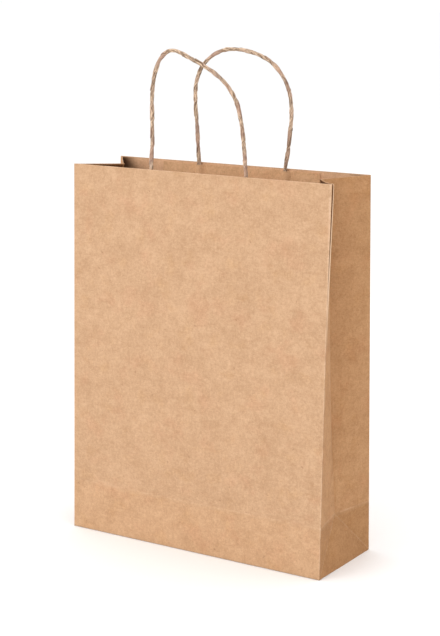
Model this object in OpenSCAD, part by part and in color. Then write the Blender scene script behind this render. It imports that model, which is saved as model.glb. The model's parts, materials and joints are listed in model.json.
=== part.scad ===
// Twisted-handle paper carrier bag, standing open on its block bottom.
//
// The bag is one sheet of kraft paper. Its creases are its hinges, so every panel between two creases
// is a plate of its own, and the pieces glued to the sheet are plates and cords of their own.
// Origin: middle of the footprint, on the floor. +Z up, the front face looks along -Y, X is the width.

/* [Bag] */
// Width of the front and rear panels
bag_w = 240; // [160:1:360]
// Depth of the footprint
bag_d = 84; // [60:1:120]
// Length of each panel from the bottom crease to the top edge
panel_len = 310; // [220:1:420]
// Inward lean of the front and rear panels, in degrees
wall_lean = 1.7; // [1:0.1:3]

/* [Paper] */
// Thickness of one ply of paper
paper_t = 0.25; // [0.15:0.01:0.4]
// Half of the free strip that a working crease takes
fold_gap = 0.6; // [0.4:0.1:1]
// Half of the free strip along a crease that closes a loop of panels
open_gap = 1.6; // [1:0.1:2]
// Distance of the lowest panel edges from the bottom crease
foot_gap = 1.3; // [1:0.1:2]

/* [Top hem] */
// Height of the turned-in top edge
hem_h = 36; // [20:1:50]
// Distance that the turned-in edge stays back from each corner crease
hem_setback = 4; // [3:0.1:8]
// Distance that a gusset's top corner is cut back from the corner crease
corner_relief = 3; // [2:0.1:6]

/* [Side seam] */
// Width of the glue tab behind the front panel
seam_w = 14; // [8:1:25]
// Distance that the front panel's cut edge stops short of the corner crease
seam_setback = 2; // [1:0.1:4]

/* [Bottom] */
// Overlap of the rear bottom flap over the front one
bottom_overlap = 26; // [10:1:40]
// Width of each side flap where it is folded in
side_flap_w = 40; // [20:1:60]

/* [Handles] */
// Diameter of the twisted paper cord
cord_d = 3.5; // [2.5:0.1:5]
// Width of the glued handle patch
patch_w = 150; // [120:1:200]
// Height of the glued handle patch
patch_h = 30; // [20:1:60]
// Distance from the top edge to the patch
patch_drop = 4.5; // [2:0.5:15]
// Length of each cord end under the patch
tail_len = 30; // [15:1:45]
// Outward lean of the front handle from the vertical, in degrees
front_lean = 8; // [0:1:20]
// Outward lean of the rear handle from the vertical, in degrees
rear_lean = 3; // [0:1:20]

/* [Hidden] */
$fn = 48;

kraft = [0.87, 0.70, 0.55];
kraft_shade = [0.73, 0.55, 0.39];
kraft_inside = [0.78, 0.61, 0.45];
kraft_patch = [0.80, 0.63, 0.48];
cord_colour = [0.76, 0.62, 0.47];

cord_r = cord_d / 2;
// Gap between a cord and the folded strip that covers it.
cord_play = 0.1;
// Height above the top edge where the loops leave the cord ends, and the same below it.
loop_start = 0.5;
tail_start = 0.6;

// The fold pattern. The side gusset is half as deep as the footprint on each side of its centre crease,
// and its diagonals leave the bottom corners at 45 degrees, so the foot crease is as high as that half.
half_d = bag_d / 2;
foot_h = half_d;
lean_sin = sin(wall_lean);
lean_cos = cos(wall_lean);
// The foot triangle leans in until the corner facet is neither stretched nor slack.
foot_lean = acos((1 - lean_sin) / lean_cos);

// Corners of the right front quarter: the bottom corner, the crease height on the corner crease,
// the top corner, the gusset's apex and the top of its centre crease.
bottom_corner = [bag_w / 2, -half_d, 0];
top_corner = bottom_corner + panel_len * [0, lean_sin, lean_cos];
apex = [bag_w / 2 - foot_h * sin(foot_lean), 0, foot_h * cos(foot_lean)];

// In the middle plane, the centre crease's top is a half depth from the top corner
// and a crease's length from the apex. Both arcs are drawn in that plane.
crease_len = panel_len - foot_h;
reach = sqrt(half_d * half_d - top_corner[1] * top_corner[1]);
mid_span = norm([top_corner[0] - apex[0], top_corner[2] - apex[2]]);
span_dir = [top_corner[0] - apex[0], top_corner[2] - apex[2]] / mid_span;
along = (crease_len * crease_len - reach * reach + mid_span * mid_span) / (2 * mid_span);
aside = sqrt(crease_len * crease_len - along * along);
crease_top = [
    apex[0] + along * span_dir[0] - aside * span_dir[1],
    0,
    apex[2] + along * span_dir[1] + aside * span_dir[0]
];

rim_y = -top_corner[1];
rim_z = top_corner[2];
// Plies from the outer face of a panel inwards: panel, hem, handle patch, cord.
cord_depth = 3 * paper_t + cord_r;

// Routes of the two loops, each in its own leaning plane: across the bag and up from the top edge.
front_route = [
    [-44, 0.5], [-43, 10], [-41, 21], [-40, 31], [-39, 41], [-38, 52], [-37, 61], [-35, 70], [-32, 79],
    [-28, 87], [-23, 92.5], [-17.5, 95.5], [-12, 96], [-6.5, 94.5], [0, 91.5], [7, 88.5], [14, 85], [21, 81],
    [28, 76], [34, 70], [38.5, 63], [41.5, 56], [43, 48], [44, 40], [44.5, 31], [44.5, 21], [44.5, 10], [44.5, 0.5]
];
rear_route = [
    [-38.5, 0.5], [-39.5, 11], [-40.5, 22], [-41.5, 33], [-43, 44], [-43.5, 54], [-43.5, 63], [-41.5, 71],
    [-37.5, 78.5], [-32, 84.5], [-25, 89], [-17, 92], [-8, 93], [1, 92.5], [10, 91], [18, 88.5], [25.5, 85],
    [32.5, 80], [38.5, 73.5], [43, 66.5], [46, 58.5], [47.5, 50], [48, 41], [47.5, 31], [46.5, 21], [45.5, 11],
    [44, 0.5]
];

function unit(v) = v / norm(v);
function cross_2d(a, b) = a[0] * b[1] - a[1] * b[0];
function left_of(d) = [-d[1], d[0]];

// Where the line through p along d meets the line through q along e.
function meet(p, d, q, e) = p + d * cross_2d(q - p, e) / cross_2d(d, e);

// A convex outline, counter-clockwise, with the edge after each corner moved inwards by its own gap.
function inset(corners, gaps) = [
    for (i = [0 : len(corners) - 1])
        let (
            count = len(corners),
            before = (i + count - 1) % count,
            edge_in = unit(corners[i] - corners[before]),
            edge_out = unit(corners[(i + 1) % count] - corners[i])
        )
        meet(
            corners[before] + gaps[before] * left_of(edge_in), edge_in,
            corners[i] + gaps[i] * left_of(edge_out), edge_out
        )
];

// Lays the drawing plane on the plane through three points, with x from the first to the second.
// The outward side is the one from which the points run counter-clockwise.
module on_plane(a, b, c) {
    x_dir = unit(b - a);
    z_dir = unit(cross(b - a, c - a));
    y_dir = cross(z_dir, x_dir);
    multmatrix([
        [x_dir[0], y_dir[0], z_dir[0], a[0]],
        [x_dir[1], y_dir[1], z_dir[1], a[1]],
        [x_dir[2], y_dir[2], z_dir[2], a[2]],
        [0, 0, 0, 1]
    ])
        children();
}

// One ply, so many plies in from the outer face.
module ply(layer = 0) {
    translate([0, 0, -(layer + 1) * paper_t])
        linear_extrude(paper_t)
            children();
}

// The front panel's plane: x across the bag from its middle, y up the panel, outward to the front.
module on_front() {
    on_plane([0, -half_d, 0], [1, -half_d, 0], [0, -half_d + lean_sin, lean_cos])
        children();
}

// A rectangle on that plane, from left to right and from low to high.
module patch_of_sheet(left, right, low, high) {
    translate([left, low])
        square([right - left, high - low]);
}

module to_rear() {
    mirror([0, 1, 0])
        children();
}

module to_left() {
    mirror([1, 0, 0])
        children();
}

// ---- Block bottom: side flaps inside, front flap over them, rear flap outermost ----

module bottom_flap(near_y, far_y, layer) {
    translate([-bag_w / 2 + fold_gap, near_y, layer * paper_t])
        cube([bag_w - 2 * fold_gap, far_y - near_y, paper_t]);
}

module bottom_rear_flap() {
    color(kraft_shade)
        bottom_flap(-bottom_overlap / 2, half_d - fold_gap, 0);
}

module bottom_front_flap() {
    color(kraft_shade)
        bottom_flap(-half_d + fold_gap, bottom_overlap / 2, 1);
}

// A side flap is mitred at 45 degrees where the foot's diagonals were folded flat.
module bottom_right_flap() {
    color(kraft_inside)
        translate([0, 0, 2 * paper_t])
            linear_extrude(paper_t)
                polygon([
                    [bag_w / 2 - fold_gap, -half_d + fold_gap],
                    [bag_w / 2 - fold_gap, half_d - fold_gap],
                    [bag_w / 2 - side_flap_w, half_d - side_flap_w / 2],
                    [bag_w / 2 - side_flap_w, -half_d + side_flap_w / 2]
                ]);
}

module bottom_left_flap() {
    to_left()
        bottom_right_flap();
}

// ---- Front and rear walls ----

module base_strip(right_gap) {
    color(kraft)
        on_front()
            ply()
                patch_of_sheet(-bag_w / 2 + fold_gap, bag_w / 2 - right_gap, foot_gap, foot_h);
}

module wall_panel(right_gap) {
    color(kraft)
        on_front()
            ply()
                patch_of_sheet(-bag_w / 2 + fold_gap, bag_w / 2 - right_gap, foot_h, panel_len);
}

module top_hem(right_gap) {
    color(kraft_inside)
        on_front()
            ply(1)
                patch_of_sheet(-bag_w / 2 + hem_setback, bag_w / 2 - right_gap, panel_len - hem_h, panel_len);
}

module handle_patch() {
    color(kraft_patch)
        on_front()
            ply(2)
                patch_of_sheet(-patch_w / 2, patch_w / 2, panel_len - patch_drop - patch_h, panel_len - patch_drop);
}

// The two places across the bag where a route starts and ends.
function legs(route) = [route[0][0], route[len(route) - 1][0]];

// The outline of a ridge over one cord end: a half round on straight sides down to the strip.
module ridge(leg, radius) {
    translate([leg, -cord_depth])
        circle(radius);
    translate([leg - radius, -cord_depth])
        square([2 * radius, cord_depth - 3 * paper_t]);
}

// The cover is one strip pressed down over both cord ends, drawn as a section and run up the panel.
module cord_cover(route) {
    inner_r = cord_r + cord_play;
    color(kraft_patch)
        on_front()
            translate([0, panel_len - patch_drop, 0])
                rotate([90, 0, 0])
                    linear_extrude(patch_h)
                        difference() {
                            union() {
                                translate([-patch_w / 2, -4 * paper_t])
                                    square([patch_w, paper_t]);
                                for (leg = legs(route))
                                    ridge(leg, inner_r + paper_t);
                            }
                            for (leg = legs(route))
                                ridge(leg, inner_r);
                            translate([-patch_w, -3 * paper_t])
                                square([2 * patch_w, cord_depth]);
                        }
}

module cord_ends(route) {
    color(cord_colour)
        on_front()
            for (leg = legs(route))
                translate([leg, panel_len - tail_start, -cord_depth])
                    rotate([90, 0, 0])
                        cylinder(h = tail_len, r = cord_r);
}

module front_base_strip() base_strip(seam_setback);
module front_panel() wall_panel(seam_setback);
module front_top_hem() top_hem(fold_gap + seam_w + fold_gap);
module front_handle_patch() handle_patch();
module front_cord_cover() cord_cover(front_route);
module front_cord_ends() cord_ends(front_route);

// The glue tab carries the right gusset round the corner and under the front panel.
module side_seam_tab() {
    color(kraft_inside)
        on_front()
            ply(1)
                patch_of_sheet(bag_w / 2 - fold_gap - seam_w, bag_w / 2 - fold_gap, foot_gap, panel_len);
}

module rear_base_strip() to_rear() base_strip(fold_gap);
module rear_panel() to_rear() wall_panel(fold_gap);
module rear_top_hem() to_rear() top_hem(hem_setback);
module rear_handle_patch() to_rear() handle_patch();
module rear_cord_cover() to_rear() cord_cover(rear_route);
module rear_cord_ends() to_rear() cord_ends(rear_route);

// ---- Side gussets, drawn for the right front quarter ----

module right_foot_triangle() {
    color(kraft_shade)
        on_plane(bottom_corner, [bag_w / 2, half_d, 0], apex)
            ply()
                polygon(inset(
                    [[0, 0], [bag_d, 0], [half_d, foot_h]],
                    [foot_gap, fold_gap, fold_gap]
                ));
}

module left_foot_triangle() to_left() right_foot_triangle();

// The facet beside the front panel, as it lies flat: x down the corner crease from the top, y across.
module on_corner_facet() {
    on_plane(top_corner, bottom_corner, apex)
        children();
}

// The facet beside the centre crease, as it lies flat: x up that crease from the apex, y to the front.
module on_inner_facet() {
    on_plane(apex, crease_top, top_corner)
        children();
}

// Below the crease across the gusset, between the corner crease and the foot's diagonal.
module gusset_corner() {
    color(kraft_shade)
        on_corner_facet()
            ply()
                polygon(inset(
                    [[panel_len, 0], [crease_len, half_d], [crease_len, 0]],
                    [fold_gap, 0, fold_gap]
                ));
}

// Above that crease, up to the soft diagonal from the top corner to the apex.
module gusset_side() {
    color(kraft_shade)
        on_corner_facet()
            ply()
                polygon(inset(
                    [[crease_len, 0], [crease_len, half_d], [0, 0]],
                    [0, fold_gap, fold_gap]
                ));
}

inner_outline = [[0, 0], [crease_len, 0], [crease_len, half_d]];

// Between the soft diagonal, the top edge and the centre crease, with its top corner cut back.
module gusset_fold() {
    color(kraft_shade)
        on_inner_facet()
            ply()
                intersection() {
                    polygon(inset(inner_outline, [open_gap, 0, fold_gap]));
                    square([panel_len, half_d - corner_relief]);
                }
}

// The turned-in top edge on that facet, one ply further in.
module gusset_hem() {
    color(kraft_inside)
        on_inner_facet()
            ply(1)
                intersection() {
                    polygon(inset(inner_outline, [open_gap + fold_gap, 0, hem_setback]));
                    translate([crease_len - hem_h, 0])
                        square([hem_h, half_d - hem_setback]);
                }
}

module right_front_gusset_corner() gusset_corner();
module right_front_gusset_side() gusset_side();
module right_front_gusset_fold() gusset_fold();
module right_front_gusset_hem() gusset_hem();
module right_rear_gusset_corner() to_rear() gusset_corner();
module right_rear_gusset_side() to_rear() gusset_side();
module right_rear_gusset_fold() to_rear() gusset_fold();
module right_rear_gusset_hem() to_rear() gusset_hem();
module left_front_gusset_corner() to_left() gusset_corner();
module left_front_gusset_side() to_left() gusset_side();
module left_front_gusset_fold() to_left() gusset_fold();
module left_front_gusset_hem() to_left() gusset_hem();
module left_rear_gusset_corner() to_left() to_rear() gusset_corner();
module left_rear_gusset_side() to_left() to_rear() gusset_side();
module left_rear_gusset_fold() to_left() to_rear() gusset_fold();
module left_rear_gusset_hem() to_left() to_rear() gusset_hem();

// ---- Handles ----

// A round tube of eight sides along a flat route, swept ring by ring.
module swept_cord(route) {
    sides = 8;
    last = len(route) - 1;
    rings = [
        for (i = [0 : last])
            let (
                heading = unit(route[min(i + 1, last)] - route[max(i - 1, 0)]),
                across = left_of(heading)
            )
            for (k = [0 : sides - 1])
                let (turn = 360 * k / sides)
                [
                    route[i][0] + cord_r * cos(turn) * across[0],
                    route[i][1] + cord_r * cos(turn) * across[1],
                    cord_r * sin(turn)
                ]
    ];
    walls = [
        for (i = [0 : last - 1])
            for (k = [0 : sides - 1])
                let (next = (k + 1) % sides)
                [i * sides + k, i * sides + next, (i + 1) * sides + next, (i + 1) * sides + k]
    ];
    ends = [
        [for (k = [sides - 1 : -1 : 0]) k],
        [for (k = [0 : sides - 1]) last * sides + k]
    ];
    polyhedron(rings, concat(walls, ends), convexity = 4);
}

// Stands a route up on the line where the cords pass the top edge, leaning outwards over the front.
module handle_loop(route, lean) {
    color(cord_colour)
        translate([0, -rim_y + cord_depth, rim_z])
            rotate([90 + lean, 0, 0])
                swept_cord(route);
}

module front_handle_loop() handle_loop(front_route, front_lean);
module rear_handle_loop() to_rear() handle_loop(rear_route, rear_lean);

bottom_rear_flap();
bottom_front_flap();
bottom_left_flap();
bottom_right_flap();
front_panel();
front_base_strip();
front_top_hem();
front_handle_patch();
front_cord_cover();
front_cord_ends();
side_seam_tab();
rear_panel();
rear_base_strip();
rear_top_hem();
rear_handle_patch();
rear_cord_cover();
rear_cord_ends();
right_foot_triangle();
left_foot_triangle();
right_front_gusset_corner();
right_front_gusset_side();
right_front_gusset_fold();
right_front_gusset_hem();
right_rear_gusset_corner();
right_rear_gusset_side();
right_rear_gusset_fold();
right_rear_gusset_hem();
left_front_gusset_corner();
left_front_gusset_side();
left_front_gusset_fold();
left_front_gusset_hem();
left_rear_gusset_corner();
left_rear_gusset_side();
left_rear_gusset_fold();
left_rear_gusset_hem();
front_handle_loop();
rear_handle_loop();
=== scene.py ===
# %% [markdown]
# # A paper carrier bag with twisted handles
# The bag is one sheet of kraft paper, folded to a block bottom, with two side gussets that fold inwards.
# Its creases are its hinges, so each wall, each half gusset and each handle moves as a body of its own.
# The measured model is loaded first. Every sheet below is then laid over it. The walls, the tab, the foot
# triangles, the bottom flaps and the patches are tied to those bodies.
# %% The measured model
import json
import math

import bmesh
import bpy
from mathutils import Matrix, Vector, noise


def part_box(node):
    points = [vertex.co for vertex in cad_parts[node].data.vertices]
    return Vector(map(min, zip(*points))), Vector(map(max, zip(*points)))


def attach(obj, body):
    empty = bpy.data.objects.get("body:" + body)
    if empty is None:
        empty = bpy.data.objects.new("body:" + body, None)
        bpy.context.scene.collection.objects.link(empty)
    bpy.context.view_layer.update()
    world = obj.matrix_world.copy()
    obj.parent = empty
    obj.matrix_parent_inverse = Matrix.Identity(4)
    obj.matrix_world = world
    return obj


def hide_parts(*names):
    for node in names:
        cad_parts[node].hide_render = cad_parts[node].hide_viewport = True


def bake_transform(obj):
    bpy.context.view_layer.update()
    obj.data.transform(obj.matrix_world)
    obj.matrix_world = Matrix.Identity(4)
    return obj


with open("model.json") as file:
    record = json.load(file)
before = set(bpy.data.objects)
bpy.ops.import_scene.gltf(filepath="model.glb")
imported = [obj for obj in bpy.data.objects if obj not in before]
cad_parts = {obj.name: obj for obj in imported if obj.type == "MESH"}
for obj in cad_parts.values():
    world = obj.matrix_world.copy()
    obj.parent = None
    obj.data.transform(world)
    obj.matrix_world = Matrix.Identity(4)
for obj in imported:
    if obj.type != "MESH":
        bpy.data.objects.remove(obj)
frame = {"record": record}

MM = 0.001
scene = bpy.context.scene
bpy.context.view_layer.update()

# %% [markdown]
# ## Camera
# A camera is a place, a direction and a lens. A long lens keeps the bag's upright edges nearly parallel.
# The direction is given by how far the camera stands to the right and above, and the matrix is built from
# the three directions right, up and back, because that leaves no room for an unwanted tilt.
# %% Camera
AZIMUTH = math.radians(32.51)
ELEVATION = math.radians(12.21)
AIM = Vector((0, 0, 0.150))
DISTANCE = 1.3565
ASIDE = -0.00119
ABOVE = -0.03718
SENSOR = 36.0
LENS = 93.73

to_right = Vector((math.cos(AZIMUTH), math.sin(AZIMUTH), 0))
backwards = Vector((
    math.sin(AZIMUTH) * math.cos(ELEVATION),
    -math.cos(AZIMUTH) * math.cos(ELEVATION),
    math.sin(ELEVATION),
))
upwards = backwards.cross(to_right)
camera = bpy.data.objects.new("camera", bpy.data.cameras.new("camera"))
scene.collection.objects.link(camera)
camera.data.lens = LENS
camera.data.sensor_width = SENSOR
camera.data.clip_end = 20
turn = Matrix((to_right, upwards, backwards)).transposed().to_4x4()
place = AIM + backwards * DISTANCE - to_right * ASIDE - upwards * ABOVE
camera.matrix_world = Matrix.Translation(place) @ turn
scene.camera = camera
print("camera at", [round(value, 3) for value in place])

# %% [markdown]
# ## The fold pattern
# All of the paper parts share a few corner points. The joints already say where the creases run, so the
# points are worked out from them and nothing is typed in twice. The quarter at the right front is enough:
# the other three are its mirror images.
#
# - foot corner: the bottom corner of the bag
# - top corner: straight up the corner crease
# - apex: where the gusset's creases meet, as high as the gusset is deep
# - valley top: the upper end of the gusset's centre crease
# %% Creases
joints = {joint["name"]: joint for joint in frame["record"]["behaviour"]["joints"]}
half_width = joints["right_foot_fold"]["pos_m"][0]
half_depth = -joints["mouth_squeeze"]["pos_m"][1]
wall_up = Vector(joints["right_front_corner_fold"]["axis"]).normalized()
panel_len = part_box("front_panel")[1].z / wall_up.z
foot_height = half_depth
upper_len = panel_len - foot_height
diagonal_len = math.hypot(upper_len, half_depth)

foot_corner = Vector((half_width, -half_depth, 0))
top_corner = foot_corner + wall_up * panel_len
apex = top_corner - Vector(joints["right_front_diagonal_fold"]["axis"]).normalized() * diagonal_len
apex.y = 0

reach = math.sqrt(half_depth ** 2 - top_corner.y ** 2)
span = Vector((top_corner.x - apex.x, 0, top_corner.z - apex.z))
along = (upper_len ** 2 - reach ** 2 + span.length_squared) / (2 * span.length)
aside = math.sqrt(upper_len ** 2 - along ** 2)
span.normalize()
valley_top = apex + span * along + Vector((-span.z, 0, span.x)) * aside
for label, point in (("top corner", top_corner), ("apex", apex), ("valley top", valley_top)):
    print(label, [round(value / MM, 2) for value in point])

# %% [markdown]
# ## From flat paper to standing paper
# Each part is first described as it lies flat, by a distance across and a height, and a small function
# stands it up. `Plate` does that for one flat facet: it knows where the facet starts and which way
# across, up and outwards are.
# %% Plates
class Plate:
    """A flat facet. across and up are the directions of the paper's own two measures."""

    def __init__(self, origin, across, up):
        self.origin = Vector(origin)
        self.across = Vector(across)
        self.up = Vector(up)
        self.out = self.across.cross(self.up).normalized()

    def at(self, across, height):
        """The standing point of a place on the flat sheet."""
        return self.origin + self.across * across + self.up * height


front_plate = Plate((0, -half_depth, 0), (1, 0, 0), wall_up)
corner_plate = Plate(foot_corner, (apex - foot_corner - wall_up * foot_height) / half_depth, wall_up)
inner_up = (valley_top - apex) / upper_len
inner_across = (valley_top - top_corner) / half_depth
inner_plate = Plate(top_corner - inner_up * panel_len, inner_across, inner_up)
foot_plate = Plate((half_width, 0, 0), (0, 1, 0), (apex - Vector((half_width, 0, 0))) / foot_height)
for label, plate in (("corner facet", corner_plate), ("inner facet", inner_plate), ("foot", foot_plate)):
    print(label, "faces", [round(value, 3) for value in plate.out])

# %% [markdown]
# ## Small curves that the paper needs
# Paper never folds to a knife edge. `eased` gives the last millimetre before a crease: how far the sheet
# still reaches sideways, and how far it has already turned inwards. Two sheets that meet at a crease both
# use it, so they meet in one line. `smooth` is the usual soft step from 0 to 1.
# %% Soft steps
PLY = 0.25 * MM
FOLD_RADIUS = 0.27 * MM
CREASE_ZONE = 1.1 * MM
CREASE_PULL = 0.3 * MM


def smooth(value, low, high):
    """0 below low, 1 above high, and a soft step between them."""
    part = min(max((value - low) / (high - low), 0), 1)
    return part * part * (3 - 2 * part)


def eased(distance):
    """For a distance from the crease: the distance kept, and the turn inwards."""
    if distance >= CREASE_ZONE:
        return distance, 0
    part = distance / CREASE_ZONE
    return CREASE_PULL + distance * (1 - CREASE_PULL / CREASE_ZONE), CREASE_PULL * (1 - part) ** 2


def steps(low, high, pitch):
    """Evenly spaced values from low to high, about pitch apart."""
    count = max(1, round((high - low) / pitch))
    return [low + (high - low) * i / count for i in range(count + 1)]


def gathered(values, near, offsets):
    """The values, with closer ones added round one of them."""
    spread = [near + offset for offset in offsets]
    kept = [value for value in values if abs(value - near) > max(offsets) * 1.2]
    return sorted(kept + spread)


print("a sheet keeps", round(eased(0)[0] / MM, 2), "mm from the crease line")

# %% [markdown]
# ## Making a sheet
# A sheet is a grid of rows and columns. The helper below turns any grid of points into a mesh, gives it
# the paper's flat measures as a UV map called `sheet`, merges the points that fall together at a tip, and
# then gives it its thickness with a Solidify modifier. The modifier is turned into real faces straight
# away, because a sheet that bends across a crease has to be final first.
# %% Sheet helper
TIP_GAP = 0.02 * MM
SHARP = math.radians(40)


def finished(thing, name, material):
    """The object's final shape as a plain mesh, with its own material and soft shading."""
    bpy.context.view_layer.update()
    evaluated = thing.evaluated_get(bpy.context.evaluated_depsgraph_get())
    mesh = bpy.data.meshes.new_from_object(evaluated)
    mesh.name = name
    thing.modifiers.clear()
    old = thing.data
    thing.data = mesh
    bpy.data.meshes.remove(old)
    mesh.materials.clear()
    mesh.materials.append(material)
    mesh.shade_smooth()
    mesh.set_sharp_from_angle(angle=SHARP)
    return thing


def paper_sheet(name, grid, flat, material, mirrored=False):
    """grid holds rows of points, and flat the same rows of (across, up) on the unfolded paper."""
    shape = bmesh.new()
    sheet = shape.loops.layers.uv.new("sheet")
    rows = [[shape.verts.new(point) for point in row] for row in grid]
    for j in range(len(rows) - 1):
        for i in range(len(rows[j]) - 1):
            ring = [(j, i), (j, i + 1), (j + 1, i + 1), (j + 1, i)]
            if mirrored:
                ring.reverse()
            face = shape.faces.new([rows[b][a] for b, a in ring])
            for loop, (b, a) in zip(face.loops, ring):
                loop[sheet].uv = flat[b][a]
    bmesh.ops.remove_doubles(shape, verts=shape.verts, dist=TIP_GAP)
    bmesh.ops.dissolve_degenerate(shape, edges=shape.edges, dist=TIP_GAP / 2)
    mesh = bpy.data.meshes.new(name)
    shape.to_mesh(mesh)
    shape.free()
    thing = bpy.data.objects.new(name, mesh)
    scene.collection.objects.link(thing)
    ply = thing.modifiers.new("ply", "SOLIDIFY")
    ply.thickness = PLY
    ply.offset = -1
    finished(thing, name, material)
    print(name, len(thing.data.polygons), "faces")
    return thing

# %% [markdown]
# ## Working with nodes in Python
# Materials and Geometry Nodes are both trees of nodes. `Wire` stands for one output in a tree: adding or
# multiplying wires adds the Math node that does it, so that a mask can be written as a sum. Every other
# node comes from `Tree.add`, which takes the node's type, its settings and what goes into its sockets. A
# socket takes a wire or a plain value, and more than one output can be asked for at once.
# %% Node helpers
class Wire:
    """One output socket, ready for sums."""

    def __init__(self, tree, socket):
        self.tree = tree
        self.socket = socket

    def sum_of(self, operation, first, second):
        """The Math node for two numbers, or Vector Math where one is a vector."""
        values = (first, second)
        vectors = [v for v in values if isinstance(v, Wire) and v.socket.type in ("VECTOR", "RGBA")]
        kind = "ShaderNodeVectorMath" if vectors else "ShaderNodeMath"
        return self.tree.add(kind, {"operation": operation}, {0: first, 1: second})

    def __add__(self, other):
        return self.sum_of("ADD", self, other)

    def __radd__(self, other):
        return self.sum_of("ADD", other, self)

    def __sub__(self, other):
        return self.sum_of("SUBTRACT", self, other)

    def __rsub__(self, other):
        return self.sum_of("SUBTRACT", other, self)

    def __mul__(self, other):
        return self.sum_of("MULTIPLY", self, other)

    def __rmul__(self, other):
        return self.sum_of("MULTIPLY", other, self)

    def __truediv__(self, other):
        return self.sum_of("DIVIDE", self, other)

    def __abs__(self):
        return self.tree.add("ShaderNodeMath", {"operation": "ABSOLUTE"}, {0: self})


class Tree:
    """A node tree that is built in few words."""

    def __init__(self, nodes):
        self.nodes = nodes

    def feed(self, node, sockets):
        """Links or sets the node's sockets."""
        for key, value in sockets.items():
            if isinstance(value, Wire):
                self.nodes.links.new(value.socket, node.inputs[key])
            else:
                node.inputs[key].default_value = value

    def add(self, kind, settings=None, sockets=None, output=0):
        """A new node, as the wire of one output, or as several wires where output is a tuple."""
        node = self.nodes.nodes.new(kind)
        for key, value in (settings or {}).items():
            if key == "captured":
                node.capture_items.new(*value)
            else:
                setattr(node, key, value)
        self.feed(node, sockets or {})
        if isinstance(output, tuple):
            return [Wire(self, node.outputs[key]) for key in output]
        return Wire(self, node.outputs[output])

    def step(self, value, low, high):
        """A soft step from 0 at low to 1 at high."""
        sockets = {0: value, 1: low, 2: high, 3: 0.0, 4: 1.0}
        return self.add("ShaderNodeMapRange", {"interpolation_type": "SMOOTHSTEP"}, sockets)

    def near(self, value, line, width):
        """1 where value lies on the line, and 0 from width away."""
        return 1 - self.step(abs(value - line), 0.0, width)

    def angle_of(self, spot):
        """The direction of a spot round the cord's middle, from -pi to pi."""
        x, y = self.add("ShaderNodeSeparateXYZ", {}, {0: spot}, (0, 1))
        return self.add("ShaderNodeMath", {"operation": "ARCTAN2"}, {0: y, 1: x})

    def noise(self, vector, scale, detail=3.0, roughness=0.55, distortion=0.0):
        """A noise value between 0 and 1, about 0.5 on the average."""
        sockets = {
            "Vector": vector, "Scale": scale, "Detail": detail,
            "Roughness": roughness, "Distortion": distortion,
        }
        return self.add("ShaderNodeTexNoise", {}, sockets)

    def mixed(self, factor, first, second, blend="MIX"):
        """The first colour, turned into the second or multiplied by it as far as factor says."""
        settings = {"data_type": "RGBA", "blend_type": blend}
        return self.add("ShaderNodeMix", settings, {0: factor, 6: first, 7: second}, 2)


def new_material(name):
    """An empty material, its tree and its main shader."""
    material = bpy.data.materials.new(name)
    material.use_nodes = True
    nodes = material.node_tree
    shader = nodes.nodes["Principled BSDF"]
    return material, Tree(nodes), shader


print("node helpers are ready")

# %% [markdown]
# ## Kraft paper
# Brown kraft is unbleached pulp. Close up it is a felt of short fibres, and from further away it is
# cloudy: pinkish and ochre patches a finger wide, a finer grain, and a few dark flecks of bark. It is
# folded by machine, so every crease has a paler, slightly rubbed line, and a painted highlight is added
# where each fold would catch the light. The whole pattern is read from the flat sheet's own measures, so
# it runs on round the corners and stays put when the paper bends. The creases are straight lines on that
# sheet, which makes them easy to find: a distance from a line, softened and broken up.
# %% Kraft pulp
BARK = (0.42, 0.30, 0.20, 1)
ROSY = (1.0, 0.86, 0.84, 1)
OCHRE = (1.0, 0.95, 0.82, 1)


def pulp(tree, place, light, deep):
    """The unfolded paper's colour and the fields that it was mixed from: blotches, grain and relief."""
    cloud = tree.noise(place, 34, 4, 0.6)
    blotch = tree.noise(place + (0.31, 0.12, 0.0), 120, 3, 0.6)
    grain = tree.noise(place, 420, 4, 0.65)
    felt = tree.noise(place * (1.0, 2.1, 1.0), 1100, 3, 0.6, 0.8)
    fibre = tree.noise(place * (1.0, 5.0, 1.0) + (0.7, 0.2, 0.0), 330, 2, 0.5, 1.4)
    cross = tree.noise(place * (4.0, 1.0, 1.0) + (0.2, 0.9, 0.0), 260, 2, 0.5, 1.6)
    fleck = tree.noise(place + (1.7, 0.4, 0.0), 240, 2, 0.5)

    tone = 0.5 + (cloud - 0.5) * 0.5 + (blotch - 0.5) * 0.5 + (grain - 0.5) * 0.7
    tone = tone + (felt - 0.5) * 0.45 + (fibre - 0.5) * 0.55 + (cross - 0.5) * 0.5
    colour = tree.mixed(tree.step(tone, 0.1, 0.9), deep, light)
    rosy = tree.step(tree.noise(place + (0.9, 0.6, 0.0), 38, 3, 0.6), 0.5, 0.72) * 0.35
    colour = tree.mixed(rosy, colour, ROSY, "MULTIPLY")
    ochre = tree.step(tree.noise(place + (0.4, 1.6, 0.0), 52, 3, 0.6), 0.52, 0.75) * 0.4
    colour = tree.mixed(ochre, colour, OCHRE, "MULTIPLY")
    dark = tree.step(fleck, 0.70, 0.76) * 0.35
    colour = tree.mixed(dark, colour, BARK, "MULTIPLY")
    relief = felt * 0.5 + fibre * 0.6 + grain * 0.8 + cross * 0.4
    return colour, blotch, grain, relief


print("pulp: seven noises and two tints")
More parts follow.
